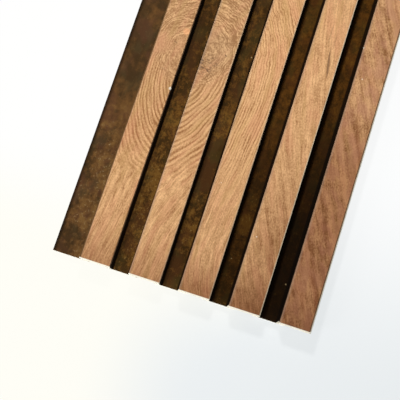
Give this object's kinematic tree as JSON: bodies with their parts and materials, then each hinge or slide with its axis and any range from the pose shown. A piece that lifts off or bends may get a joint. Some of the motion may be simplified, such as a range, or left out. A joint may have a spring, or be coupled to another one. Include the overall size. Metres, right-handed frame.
{
  "type": "fluted wall panel",
  "caption": "Fluted wall panel with raised wood-grain ribs, dark bronze grooves between them and a flange along one edge that laps under the next panel.",
  "frame": {"origin": "middle of the back, in the plane that lies against the wall", "axes": "+X across the panel from the flange to the lapping rib, +Y along the ribs, +Z out from the wall"},
  "size_m": [0.122, 0.3, 0.012],
  "materials": {
    "bronze_film": "dark, mottled bronze film, satin; the cut ends and the back are pale foam",
    "wood_grain_film": "printed light brown wood grain, satin"
  },
  "bodies": {
    "root": {"panel_body": "bronze_film", "rib_facing_1": "wood_grain_film", "rib_facing_2": "wood_grain_film", "rib_facing_3": "wood_grain_film", "rib_facing_4": "wood_grain_film", "rib_facing_5": "wood_grain_film"}
  },
  "joints": []
}
